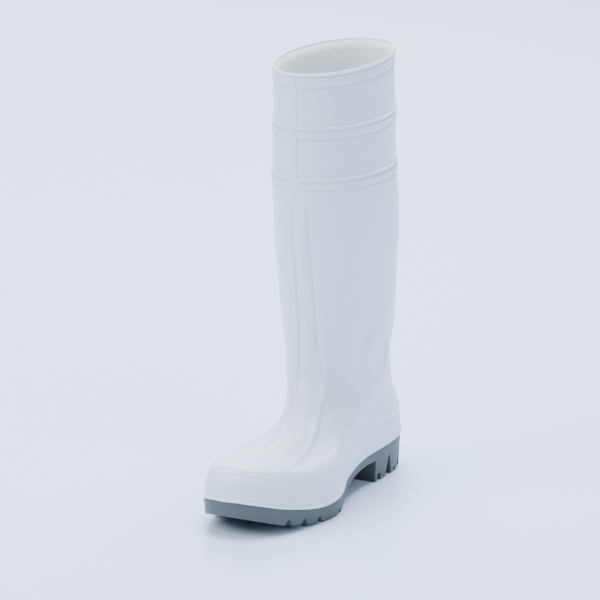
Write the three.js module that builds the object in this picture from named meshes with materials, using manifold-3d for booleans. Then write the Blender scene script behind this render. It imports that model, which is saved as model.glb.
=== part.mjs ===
// A moulded safety wellington boot for the left foot: a hollow white upper, a grey lugged outsole and an
// insole. Millimetres, +Z up, toe towards -Y, the wearer's left (the outer side of this boot) towards +X.
// The origin lies on the floor, under the middle of the boot.
import * as THREE from "three";
import { mergeVertices } from "three/addons/utils/BufferGeometryUtils.js";
import Module from "manifold-3d";

const wasm = await Module();
wasm.setup();

// Driving sizes of the boot
const SOLE_LENGTH = 302; // toe tip to heel back, along the floor
const BALL_WIDTH = 107; // outsole across the ball of the foot
const BOOT_HEIGHT = 398; // floor to the middle of the collar
const INSTEP_RISE = 100; // unit of the foot's section heights over the sole's top line
const SHAFT_LENGTH = 144; // shaft, front to back
const SHAFT_WIDTH = 103; // shaft, side to side
const SHAFT_CENTRE = 0.693; // middle of the shaft along the sole, as a share of its length from the toe
const SHAFT_SHIFT = -5; // the shaft's middle stands this far towards the inner side

// Sole
const HEEL_HEIGHT = 37.3; // floor to the sole's top line at the heel back
const TOE_SPRING = 18.6; // floor to the underside of the toe tip
const FOREPART_DEPTH = 14.8; // floor to the sole's top line at the ball
const ARCH_HEIGHT = 21; // floor to the underside of the waist
const HEEL_BREAST = 0.715; // front face of the heel, as a share of the sole's length from the toe
const FLAT_START = 0.27; // the forepart stands on the floor between these two places
const FLAT_END = 0.4;
const SOLE_DRAFT = 1.6; // the side of the sole leans in by this from its top to the floor
const GROOVE_DEPTH = 6; // V grooves between the lugs
const GROOVE_WIDTH = 8.4;
const GROOVE_ROOT = 1.2; // width of a V groove at its top
const EDGE_BORDER = 13; // border left beside a groove that stops short of the edge
const HEEL_CUT_DEPTH = 9; // how far the cuts in the heel's sides reach in

// Upper
const FORE_END = 0.6; // share of a loop by which its fore width has turned into its rear width
const HEEL_START = 0.6; // from here to its back point it turns into its heel width
const REAR_MIDDLE = 0.02; // shift of the foot's loops outwards behind their fore part, in ball widths
const WALL = 2.8;
const LIP_RAISE = 0.8; // rounded lip round the upper's lower edge
const LIP_HEIGHT = 3;
const CAP_RIDGE = 0.9; // raised line along the toe cap's upper edge
const CAP_RIDGE_HALF = 1.3; // half the height of that line
const CAP_RIDGE_END = 0.24; // place along the sole where that line has faded

// Raised bands round the shaft: a rounded bead along the top of a flat strip
const BAND_HEIGHT = 10;
const BAND_RAISE = 0.9;
const BEAD_HEIGHT = 2.6;
const BEAD_RAISE = 1.7;
const BAND_EDGE = 0.5; // height in which a band steps out of the wall

// Insole
const INSOLE_THICKNESS = 4;
const INSOLE_SLACK = 1.2; // room between the insole's edge and the upper's wall

const FIT_GAP = 0.3; // clearance between pieces that meet
const OVERCUT = 5; // how far a cutter runs past what it cuts
const MERGE_DISTANCE = 1e-4; // points nearer than this are one

// Facets
const TURN_STEPS = 56; // round the upper
const PRINT_STEPS = 2 * TURN_STEPS; // round the sole and insole
const PROFILE_STEPS = 24; // along a curved cut
const LEVEL_STEP = 0.4; // between two rows of the outer face
const INNER_LEVEL_STEP = 0.6;
const ROW_CLEARANCE = LEVEL_STEP / 3; // an even row this near one placed by the relief is left out
const SLOPE_STEP = 0.002; // step in level and turn over which directions are measured
const HALVINGS = 40;

// The sole's outline. along is the share of its length from the toe. middle shifts the outline towards
// the outer side, and fullness is its half width over that of a plain ellipse, both as shares of the ball
// width.
const FOOTPRINT = [
  { along: 0.0, middle: -0.02, fullness: 0.78 },
  { along: 0.03, middle: -0.012, fullness: 0.69 },
  { along: 0.1, middle: 0.004, fullness: 0.62 },
  { along: 0.2, middle: 0.008, fullness: 0.575 },
  { along: 0.33, middle: 0.027, fullness: 0.532 },
  { along: 0.48, middle: 0.042, fullness: 0.374 },
  { along: 0.62, middle: 0.035, fullness: 0.328 },
  { along: 0.78, middle: 0.008, fullness: 0.413 },
  { along: 0.9, middle: -0.004, fullness: 0.52 },
  { along: 0.97, middle: -0.01, fullness: 0.61 },
  { along: 1.0, middle: -0.01, fullness: 0.66 },
];

// The sole's top line and underside along its length. spring counts in toe springs, lift in the heel's
// height over the forepart, and arch in arch heights.
const SOLE_LINE = [
  { along: 0.0, spring: 0.93, lift: 0, under: 1, arch: 0 },
  { along: 0.12, spring: 0.37, lift: 0, under: 0.36, arch: 0 },
  { along: FLAT_START, spring: 0, lift: 0, under: 0, arch: 0 },
  { along: FLAT_END, spring: 0, lift: 0.23, under: 0, arch: 0 },
  { along: 0.47, spring: 0, lift: 0.44, under: 0, arch: 0.5 },
  { along: 0.56, spring: 0, lift: 0.6, under: 0, arch: 0.88 },
  { along: 0.72, spring: 0, lift: 0.73, under: 0, arch: 1 },
  { along: 0.85, spring: 0, lift: 0.8, under: 0, arch: 1 },
  { along: 1.0, spring: 0, lift: 1, under: 0, arch: 1 },
];

// Grooves across the forepart. full ones run out through both edges and show there as notches.
const FOREPART_GROOVES = [
  { along: 0.122, full: true },
  { along: 0.183, full: true },
  { along: 0.25, full: true },
  { along: 0.305, full: false },
  { along: 0.362, full: true },
];

// Cuts in both sides of the heel. foot and top are their widths at the floor and at the top as shares of
// the sole's length, and height is a share of the arch height.
const HEEL_CUTS = [
  { along: 0.74, foot: 0.023, top: 0.02, height: 0.31 },
  { along: 0.808, foot: 0.048, top: 0.006, height: 0.95 },
  { along: 0.86, foot: 0.017, top: 0.013, height: 0.21 },
  { along: 0.907, foot: 0.046, top: 0.006, height: 0.95 },
];

// Sections of the foot, from the sole up. Each is a loop from a front point to a back point. front and
// back are places along the sole. frontRise and backRise are heights over the sole's top line, in instep
// rises. fore, rear and heel are the loop's half widths at its front, behind its fore part and towards
// its back, and middle is the shift outwards of its front, all in ball widths. print is how far its width
// still follows the footprint, and lie how far its height still follows the sole's top line.
const FOOT_SECTIONS = [
  {
    name: "sole edge", front: 0, frontRise: 0, back: 1, backRise: 0,
    fore: 0.5, rear: 0.5, heel: 0.5, middle: 0, print: 1, lie: 1,
  },
  {
    name: "wall", front: 0.006, frontRise: 0.13, back: 0.998, backRise: 0.09,
    fore: 0.46, rear: 0.36, heel: 0.55, middle: 0, print: 0.97, lie: 1,
  },
  {
    name: "cap edge", front: 0.022, frontRise: 0.268, back: 0.993, backRise: 0.19,
    fore: 0.46, rear: 0.345, heel: 0.56, middle: 0, print: 0.92, lie: 0.91,
  },
  {
    name: "cap top", front: 0.05, frontRise: 0.343, back: 0.985, backRise: 0.27,
    fore: 0.41, rear: 0.34, heel: 0.53, middle: 0.02, print: 0.58, lie: 0.88,
  },
  {
    name: "vamp", front: 0.12, frontRise: 0.385, back: 0.972, backRise: 0.34,
    fore: 0.335, rear: 0.342, heel: 0.49, middle: 0.065, print: 0.13, lie: 0.82,
  },
  {
    name: "mid vamp", front: 0.21, frontRise: 0.395, back: 0.965, backRise: 0.4,
    fore: 0.27, rear: 0.345, heel: 0.45, middle: 0.085, print: 0.02, lie: 0.66,
  },
  {
    name: "instep", front: 0.285, frontRise: 0.42, back: 0.955, backRise: 0.47,
    fore: 0.24, rear: 0.35, heel: 0.41, middle: 0.075, print: 0, lie: 0.38,
  },
  {
    name: "throat", front: 0.36, frontRise: 0.47, back: 0.935, backRise: 0.59,
    fore: 0.235, rear: 0.357, heel: 0.38, middle: 0.05, print: 0, lie: 0.12,
  },
];

// Sections of the shaft. front and back are in half shaft lengths from its middle, frontHeight and
// backHeight in boot heights from the floor, and width in half shaft widths.
const SHAFT_SECTIONS = [
  {
    name: "ankle", front: 0.92, frontHeight: 0.285, back: 1.02, backHeight: 0.295,
    width: 0.77, middle: 0.2,
  },
  {
    name: "low shaft", front: 0.88, frontHeight: 0.38, back: 1.06, backHeight: 0.37,
    width: 0.88, middle: 0.6,
  },
  {
    name: "shin", front: 0.895, frontHeight: 0.5, back: 1.1, backHeight: 0.5,
    width: 0.965, middle: 0.9,
  },
  {
    name: "calf", front: 0.94, frontHeight: 0.63, back: 1.08, backHeight: 0.64,
    width: 1.03, middle: 1,
  },
  {
    name: "lower band", front: 0.97, frontHeight: 0.745, back: 1.01, backHeight: 0.762,
    width: 1.005, middle: 1,
  },
  {
    name: "upper band", front: 0.98, frontHeight: 0.861, back: 1.0, backHeight: 0.885,
    width: 0.985, middle: 1,
  },
  {
    name: "collar", front: 0.99, frontHeight: 0.979, back: 0.99, backHeight: 1.019,
    width: 0.95, middle: 1,
  },
];

const smooth = THREE.MathUtils.smoothstep;
const place = (along) => (along - 0.5) * SOLE_LENGTH;

// A smooth curve through values given at rising places. It never overshoots them.
function curveThrough(places, values) {
  const last = places.length - 1;
  const rise = (i) => (values[i + 1] - values[i]) / (places[i + 1] - places[i]);
  const slope = places.map((_, i) => {
    if (i === 0) return rise(0);
    if (i === last) return rise(last - 1);
    const before = rise(i - 1);
    const after = rise(i);
    return before * after <= 0 ? 0 : (2 * before * after) / (before + after);
  });
  return (at) => {
    let i = 0;
    while (i < last - 1 && at > places[i + 1]) i++;
    const span = places[i + 1] - places[i];
    const t = THREE.MathUtils.clamp((at - places[i]) / span, 0, 1);
    const s = 1 - t;
    const ends = values[i] * s * s * (1 + 2 * t) + values[i + 1] * t * t * (3 - 2 * t);
    return ends + span * t * s * (slope[i] * s - slope[i + 1] * t);
  };
}

// A table's column as a smooth curve
function columnCurve(rows, places, value) {
  return curveThrough(rows.map(places), rows.map(value));
}

const printMiddle = columnCurve(FOOTPRINT, (r) => r.along, (r) => r.middle * BALL_WIDTH);
const printFullness = columnCurve(FOOTPRINT, (r) => r.along, (r) => r.fullness * BALL_WIDTH);
const heelLift = HEEL_HEIGHT - FOREPART_DEPTH;
const topLine = columnCurve(
  SOLE_LINE,
  (r) => place(r.along),
  (r) => FOREPART_DEPTH + r.spring * TOE_SPRING + r.lift * heelLift
);
const underLine = columnCurve(
  SOLE_LINE,
  (r) => place(r.along),
  (r) => r.under * TOE_SPRING + r.arch * ARCH_HEIGHT
);

// Every section in millimetres
const toeTop = topLine(place(0));
const heelTop = topLine(place(1));
const sections = [
  ...FOOT_SECTIONS.map((r) => ({
    frontY: place(r.front),
    frontZ: toeTop + r.frontRise * INSTEP_RISE,
    backY: place(r.back),
    backZ: heelTop + r.backRise * INSTEP_RISE,
    fore: r.fore * BALL_WIDTH,
    rear: r.rear * BALL_WIDTH,
    heel: r.heel * BALL_WIDTH,
    print: r.print,
    lie: r.lie,
    middle: r.middle * BALL_WIDTH,
    rearMiddle: REAR_MIDDLE * BALL_WIDTH,
  })),
  ...SHAFT_SECTIONS.map((r) => ({
    frontY: place(SHAFT_CENTRE) - (r.front * SHAFT_LENGTH) / 2,
    frontZ: r.frontHeight * BOOT_HEIGHT,
    backY: place(SHAFT_CENTRE) + (r.back * SHAFT_LENGTH) / 2,
    backZ: r.backHeight * BOOT_HEIGHT,
    fore: (r.width * SHAFT_WIDTH) / 2,
    rear: (r.width * SHAFT_WIDTH) / 2,
    heel: (r.width * SHAFT_WIDTH) / 2,
    print: 0,
    lie: 0,
    middle: r.middle * SHAFT_SHIFT,
    rearMiddle: r.middle * SHAFT_SHIFT,
  })),
];
const sectionNumber = (_, i) => i;
const sectionColumn = {};
for (const key of Object.keys(sections[0])) {
  sectionColumn[key] = curveThrough(sections.map(sectionNumber), sections.map((s) => s[key]));
}
const levelOf = (name) => [...FOOT_SECTIONS, ...SHAFT_SECTIONS].findIndex((r) => r.name === name);
const CAP_EDGE = levelOf("cap edge");
const COLLAR = levelOf("collar");
const BANDS = [levelOf("lower band"), levelOf("upper band"), COLLAR];

// A point of the upper's form. level is a section number with its fraction, and turn runs once round from
// the front by way of the outer side.
function formPoint(level, turn) {
  const angle = turn * 2 * Math.PI;
  const along = (1 - Math.cos(angle)) / 2;
  const at = (key) => sectionColumn[key](level);
  const print = at("print");
  const toRear = smooth(along, 0, FORE_END);
  const waist = THREE.MathUtils.lerp(at("fore"), at("rear"), toRear);
  const free = THREE.MathUtils.lerp(waist, at("heel"), smooth(along, HEEL_START, 1));
  const freeMiddle = THREE.MathUtils.lerp(at("middle"), at("rearMiddle"), toRear);
  const half = THREE.MathUtils.lerp(free, printFullness(along), print);
  const middle = THREE.MathUtils.lerp(freeMiddle, printMiddle(along), print);
  const y = THREE.MathUtils.lerp(at("frontY"), at("backY"), along);
  const straight = THREE.MathUtils.lerp(at("frontZ"), at("backZ"), along);
  const dip = topLine(y) - THREE.MathUtils.lerp(toeTop, heelTop, along);
  return new THREE.Vector3(middle + half * Math.sin(angle), y, straight + dip * at("lie"));
}

// The upper's outward direction there. Along the sole's edge it is level.
function outward(level, turn) {
  const round = formPoint(level, turn + SLOPE_STEP).sub(formPoint(level, turn - SLOPE_STEP));
  const above = formPoint(Math.min(level + SLOPE_STEP, COLLAR), turn);
  const rise = above.sub(formPoint(Math.max(level - SLOPE_STEP, 0), turn));
  const normal = level === 0 ? new THREE.Vector3(round.y, -round.x, 0) : round.cross(rise);
  return normal.normalize();
}

// How far a band stands out of the wall, at a distance down from the band's upper line
function bandRaise(down) {
  const strip = smooth(down, -BAND_EDGE, 0) * (1 - smooth(down, BAND_HEIGHT, BAND_HEIGHT + BAND_EDGE));
  const inBead = THREE.MathUtils.clamp(down / BEAD_HEIGHT, 0, 1);
  return BAND_RAISE * strip + (BEAD_RAISE - BAND_RAISE) * Math.sin(Math.PI * inBead);
}

// How far the outer face stands out of the form: bands, the line of the toe cap and the lip above the sole
function relief(level, turn) {
  const height = sectionColumn.frontZ(level);
  let raise = 0;
  for (const band of BANDS) raise += bandRaise(sectionColumn.frontZ(band) - height);
  const overEdge = Math.abs(height - sectionColumn.frontZ(CAP_EDGE)) / CAP_RIDGE_HALF;
  const y = formPoint(level, turn).y;
  const fade = 1 - smooth(y, place(CAP_RIDGE_END / 2), place(CAP_RIDGE_END));
  raise += CAP_RIDGE * fade * Math.max(0, 1 - overEdge);
  const overLip = Math.min(1, (height - toeTop) / LIP_HEIGHT);
  return raise + LIP_RAISE * Math.sqrt(1 - overLip * overLip);
}

// The level whose front point lies at a height
function levelAt(height) {
  let low = 0;
  let high = COLLAR;
  for (let halving = 0; halving < HALVINGS; halving++) {
    const middle = (low + high) / 2;
    if (sectionColumn.frontZ(middle) < height) low = middle;
    else high = middle;
  }
  return (low + high) / 2;
}

// Rows of the outer face: even steps, with more rows where the relief has its edges
function outerLevels() {
  const front = sectionColumn.frontZ;
  const heights = [toeTop + LIP_HEIGHT / 2, toeTop + LIP_HEIGHT];
  for (const over of [-CAP_RIDGE_HALF, 0, CAP_RIDGE_HALF]) heights.push(front(CAP_EDGE) + over);
  const bandRows = [-BAND_EDGE, 0, BEAD_HEIGHT / 2, BEAD_HEIGHT, BAND_HEIGHT, BAND_HEIGHT + BAND_EDGE];
  for (const band of BANDS) {
    for (const down of bandRows) heights.push(front(band) - down);
  }
  const special = heights.filter((height) => height < front(COLLAR)).map(levelAt);
  const clear = (level) => special.every((other) => Math.abs(other - level) > ROW_CLEARANCE);
  const even = evenLevels(LEVEL_STEP).filter((level) => clear(level) || level === 0 || level === COLLAR);
  return [...even, ...special].sort((a, b) => a - b);
}

function evenLevels(step) {
  const count = Math.round(COLLAR / step);
  return Array.from({ length: count + 1 }, (_, i) => (i / count) * COLLAR);
}

// A geometry from points and corner numbers
function geometryOf(points, index) {
  const geometry = new THREE.BufferGeometry();
  geometry.setAttribute("position", new THREE.Float32BufferAttribute(points.flatMap((p) => p.toArray()), 3));
  geometry.setIndex(index);
  return geometry;
}

// A closed ring wall between an outer and an inner grid of points, with a flat rim at each end
function shell(outer, inner) {
  const steps = outer[0].length;
  const index = [];
  const quad = (a, b, c, d) => index.push(a, b, c, a, c, d);
  const at = (row, step) => row * steps + (step % steps);
  const innerStart = outer.length;
  const lastOuter = outer.length - 1;
  const lastInner = innerStart + inner.length - 1;
  for (let step = 0; step < steps; step++) {
    const next = step + 1;
    for (let row = 0; row < lastOuter; row++) {
      quad(at(row, step), at(row, next), at(row + 1, next), at(row + 1, step));
    }
    for (let row = innerStart; row < lastInner; row++) {
      quad(at(row, next), at(row, step), at(row + 1, step), at(row + 1, next));
    }
    quad(at(lastOuter, step), at(lastOuter, next), at(lastInner, next), at(lastInner, step));
    quad(at(innerStart, step), at(innerStart, next), at(0, next), at(0, step));
  }
  return geometryOf([...outer, ...inner].flat(), index);
}

function upperGeometry() {
  const turns = Array.from({ length: TURN_STEPS }, (_, i) => i / TURN_STEPS);
  const facePoint = (level, turn, depth) => {
    const point = formPoint(level, turn).addScaledVector(outward(level, turn), depth);
    if (level === 0) point.z = topLine(point.y) + FIT_GAP;
    return point;
  };
  const outer = outerLevels().map((level) =>
    turns.map((turn) => facePoint(level, turn, relief(level, turn))),
  );
  const inner = evenLevels(INNER_LEVEL_STEP).map((level) =>
    turns.map((turn) => facePoint(level, turn, -WALL)),
  );
  return shell(outer, inner);
}

// A point of the sole's outline, moved outwards by an offset
function outlinePoint(turn, offset) {
  return formPoint(0, turn).addScaledVector(outward(0, turn), offset);
}

// A closed solid inside the sole's outline. Its low and high faces are given as heights along the sole.
function slab(lowOffset, lowHeight, highOffset, highHeight) {
  const turns = Array.from({ length: PRINT_STEPS }, (_, i) => i / PRINT_STEPS);
  const ring = (offset, height) =>
    turns.map((turn) => {
      const point = outlinePoint(turn, offset);
      point.z = height(point.y);
      return point;
    });
  const index = [];
  const quad = (a, b, c, d) => index.push(a, b, c, a, c, d);
  for (let step = 0; step < PRINT_STEPS; step++) {
    const next = (step + 1) % PRINT_STEPS;
    quad(step, next, PRINT_STEPS + next, PRINT_STEPS + step);
  }
  const across = (step) => (PRINT_STEPS - step) % PRINT_STEPS;
  for (let step = 0; step < PRINT_STEPS / 2; step++) {
    const a = step;
    const b = step + 1;
    const c = across(step + 1);
    const d = across(step);
    quad(a, d, c, b);
    quad(PRINT_STEPS + a, PRINT_STEPS + b, PRINT_STEPS + c, PRINT_STEPS + d);
  }
  return geometryOf([...ring(lowOffset, lowHeight), ...ring(highOffset, highHeight)], index);
}

function solidOf(geometry) {
  const bare = geometry.clone();
  bare.deleteAttribute("normal");
  bare.deleteAttribute("uv");
  const merged = mergeVertices(bare, MERGE_DISTANCE);
  const triVerts = new Uint32Array(merged.index.array);
  const vertProperties = merged.attributes.position.array;
  return new wasm.Manifold(new wasm.Mesh({ numProp: 3, vertProperties, triVerts }));
}

function geometryFromSolid(solid) {
  const mesh = solid.getMesh();
  const geometry = new THREE.BufferGeometry();
  geometry.setAttribute("position", new THREE.BufferAttribute(new Float32Array(mesh.vertProperties), 3));
  geometry.setIndex(new THREE.BufferAttribute(new Uint32Array(mesh.triVerts), 1));
  return geometry;
}

// A bar across the sole whose end is an outline of places along the sole and heights
function barAcross(outline, fromX, toX) {
  const shape = new THREE.Shape(outline.map(([y, z]) => new THREE.Vector2(y, z)));
  const bar = new THREE.ExtrudeGeometry(shape, { depth: toX - fromX, bevelEnabled: false });
  bar.applyMatrix4(new THREE.Matrix4().makeBasis(
    new THREE.Vector3(0, 1, 0), new THREE.Vector3(0, 0, 1), new THREE.Vector3(1, 0, 0)
  ));
  return solidOf(bar.translate(fromX, 0, 0));
}

// What lies under the sole between two places: the space of the toe spring or of the arch
function spaceUnder(from, to) {
  const outline = [];
  for (let step = 0; step <= PROFILE_STEPS; step++) {
    const y = place(THREE.MathUtils.lerp(from, to, step / PROFILE_STEPS));
    outline.push([y, underLine(y)]);
  }
  outline.push([place(to), -OVERCUT], [place(from), -OVERCUT]);
  return barAcross(outline, -BALL_WIDTH, BALL_WIDTH);
}

// A cut up into the underside, wide at the foot and narrower at the top
function cutAcross(along, foot, top, height, fromX, toX) {
  const y = place(along);
  const floor = underLine(y);
  const flare = foot / 2 + ((foot - top) / 2) * (OVERCUT / height);
  const low = along > HEEL_BREAST ? 0 : floor;
  const base = [[y - flare, low - OVERCUT], [y + flare, low - OVERCUT]];
  const crown = [[y + top / 2, low + height], [y - top / 2, low + height]];
  return barAcross([...base, ...crown], fromX, toX);
}

// Both edges of the sole at a place along it, the inner one first
function edgesAt(along) {
  const reach = printFullness(along) * Math.sin(Math.acos(1 - 2 * along));
  return [printMiddle(along) - reach, printMiddle(along) + reach];
}

function outsoleGeometry() {
  let sole = solidOf(slab(-SOLE_DRAFT, () => 0, 0, topLine));
  const cuts = [spaceUnder(-OVERCUT / SOLE_LENGTH, FLAT_START), spaceUnder(FLAT_END, HEEL_BREAST)];
  for (const { along, full } of FOREPART_GROOVES) {
    const [inner, outer] = edgesAt(along);
    const border = full ? -OVERCUT : EDGE_BORDER;
    cuts.push(cutAcross(along, GROOVE_WIDTH, GROOVE_ROOT, GROOVE_DEPTH, inner + border, outer - border));
  }
  for (const row of HEEL_CUTS) {
    const [inner, outer] = edgesAt(row.along);
    const cut = [row.along, row.foot * SOLE_LENGTH, row.top * SOLE_LENGTH, row.height * ARCH_HEIGHT];
    cuts.push(cutAcross(...cut, inner - OVERCUT, inner + HEEL_CUT_DEPTH));
    cuts.push(cutAcross(...cut, outer - HEEL_CUT_DEPTH, outer + OVERCUT));
  }
  for (const cut of cuts) sole = sole.subtract(cut);
  return geometryFromSolid(sole);
}

function insoleGeometry() {
  const inset = -(WALL + INSOLE_SLACK);
  const low = (y) => topLine(y) + FIT_GAP;
  return slab(inset, low, inset, (y) => low(y) + INSOLE_THICKNESS);
}

const white = new THREE.MeshStandardMaterial({ color: 0xdfe4ea, roughness: 0.4, metalness: 0 });
const grey = new THREE.MeshStandardMaterial({ color: 0x77848d, roughness: 0.6, metalness: 0 });
const felt = new THREE.MeshStandardMaterial({ color: 0xc9cac8, roughness: 0.9, metalness: 0 });

function piece(name, geometry, material) {
  const mesh = new THREE.Mesh(geometry, material);
  mesh.name = name;
  return mesh;
}

const boot = new THREE.Group();
boot.add(piece("upper", upperGeometry(), white));
boot.add(piece("outsole", outsoleGeometry(), grey));
boot.add(piece("insole", insoleGeometry(), felt));

// The middle of the boot's box comes over the origin
const middle = new THREE.Box3().setFromObject(boot).getCenter(new THREE.Vector3());
for (const mesh of boot.children) mesh.position.set(-middle.x, -middle.y, 0);
export default boot;
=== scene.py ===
"""A moulded white safety wellington for the left foot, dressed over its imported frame.

Lengths in the tables and in the form are millimetres. They become metres where a mesh is made.
"""
import math

import bmesh
import bpy
import numpy as np
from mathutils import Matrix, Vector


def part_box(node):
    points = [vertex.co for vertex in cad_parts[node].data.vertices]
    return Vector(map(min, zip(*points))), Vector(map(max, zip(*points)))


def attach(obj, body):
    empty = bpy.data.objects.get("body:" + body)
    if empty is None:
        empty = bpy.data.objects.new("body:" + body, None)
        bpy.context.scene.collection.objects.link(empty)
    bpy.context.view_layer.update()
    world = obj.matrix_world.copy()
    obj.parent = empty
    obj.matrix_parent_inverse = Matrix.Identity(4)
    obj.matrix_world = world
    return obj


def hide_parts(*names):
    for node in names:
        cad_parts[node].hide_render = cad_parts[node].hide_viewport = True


bl_info = {
    "name": "White safety wellington",
    "version": (1, 0, 0),
    "blender": (4, 5, 0),
    "location": "3D View > Sidebar > Boot",
    "description": "Dresses a packed safety wellington boot and sets up its studio",
    "category": "Object",
}

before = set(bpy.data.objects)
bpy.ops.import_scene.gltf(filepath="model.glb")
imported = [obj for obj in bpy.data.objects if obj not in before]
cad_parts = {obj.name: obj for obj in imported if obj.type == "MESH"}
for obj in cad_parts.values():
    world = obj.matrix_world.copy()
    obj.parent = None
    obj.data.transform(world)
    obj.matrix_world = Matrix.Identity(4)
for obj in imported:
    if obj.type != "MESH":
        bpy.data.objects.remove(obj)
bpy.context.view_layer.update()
MM = 0.001

# Sizes of the form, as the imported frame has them
SOLE_LENGTH = 302
BALL_WIDTH = 107
BOOT_HEIGHT = 398
INSTEP_RISE = 100
SHAFT_LENGTH = 144
SHAFT_WIDTH = 103
SHAFT_CENTRE = 0.693
SHAFT_SHIFT = -5
HEEL_HEIGHT = 37.3
TOE_SPRING = 18.6
FOREPART_DEPTH = 14.8
ARCH_HEIGHT = 21
HEEL_BREAST = 0.715
FLAT_START = 0.27
FLAT_END = 0.4
SOLE_DRAFT = 1.6
GROOVE_DEPTH = 6
GROOVE_WIDTH = 8.4
GROOVE_ROOT = 1.2
EDGE_BORDER = 13
HEEL_CUT_DEPTH = 9
REAR_MIDDLE = 0.02
WALL = 2.8
FORE_END = 0.6
HEEL_START = 0.6
FIT_GAP = 0.3

# The sole's outline: place along the sole, shift outwards and fullness in ball widths
FOOTPRINT = {
    "along": (0, 0.03, 0.1, 0.2, 0.33, 0.48, 0.62, 0.78, 0.9, 0.97, 1),
    "middle": (-0.02, -0.012, 0.004, 0.008, 0.027, 0.042, 0.035, 0.008, -0.004, -0.01, -0.01),
    "fullness": (0.78, 0.69, 0.62, 0.575, 0.532, 0.374, 0.328, 0.413, 0.52, 0.61, 0.66),
}

# The sole's top line and underside, in toe springs, heel lifts and arch heights
SOLE_LINE = {
    "along": (0, 0.12, FLAT_START, FLAT_END, 0.47, 0.56, 0.72, 0.85, 1),
    "spring": (0.93, 0.37, 0, 0, 0, 0, 0, 0, 0),
    "lift": (0, 0, 0, 0.23, 0.44, 0.6, 0.73, 0.8, 1),
    "under": (1, 0.36, 0, 0, 0, 0, 0, 0, 0),
    "arch": (0, 0, 0, 0, 0.5, 0.88, 1, 1, 1),
}

# Sections of the foot, sole edge to throat
FOOT_SECTIONS = {
    "front": (0, 0.006, 0.022, 0.05, 0.12, 0.21, 0.285, 0.36),
    "front_rise": (0, 0.13, 0.268, 0.343, 0.385, 0.395, 0.42, 0.47),
    "back": (1, 0.998, 0.993, 0.985, 0.972, 0.965, 0.955, 0.935),
    "back_rise": (0, 0.09, 0.19, 0.27, 0.34, 0.4, 0.47, 0.59),
    "fore": (0.5, 0.46, 0.46, 0.41, 0.335, 0.27, 0.24, 0.235),
    "rear": (0.5, 0.36, 0.345, 0.34, 0.342, 0.345, 0.35, 0.357),
    "heel": (0.5, 0.55, 0.56, 0.53, 0.49, 0.45, 0.41, 0.38),
    "middle": (0, 0, 0, 0.02, 0.065, 0.085, 0.075, 0.05),
    "print": (1, 0.97, 0.92, 0.58, 0.13, 0.02, 0, 0),
    "lie": (1, 1, 0.91, 0.88, 0.82, 0.66, 0.38, 0.12),
}

# Sections of the shaft: ankle, low shaft, shin, calf, lower band, upper band, collar
SHAFT_SECTIONS = {
    "front": (0.92, 0.88, 0.895, 0.94, 0.97, 0.98, 0.99),
    "front_height": (0.285, 0.38, 0.5, 0.63, 0.745, 0.861, 0.979),
    "back": (1.02, 1.06, 1.1, 1.08, 1.01, 1.0, 0.99),
    "back_height": (0.295, 0.37, 0.5, 0.64, 0.762, 0.885, 1.019),
    "width": (0.77, 0.88, 0.965, 1.03, 1.005, 0.985, 0.95),
    "middle": (0.2, 0.6, 0.9, 1, 1, 1, 1),
}
CAP_EDGE = 2
LOWER_BAND = 12
UPPER_BAND = 13
COLLAR = 14

# Grooves across the forepart, and whether they run out through both edges
FOREPART_GROOVES = {
    "along": (0.122, 0.183, 0.25, 0.305, 0.362),
    "full": (True, True, True, False, True),
}

# Cuts in both sides of the heel, in sole lengths and arch heights
HEEL_CUTS = {
    "along": (0.74, 0.808, 0.86, 0.907),
    "foot": (0.023, 0.048, 0.017, 0.046),
    "top": (0.02, 0.006, 0.013, 0.006),
    "height": (0.31, 0.95, 0.21, 0.95),
}

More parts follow.
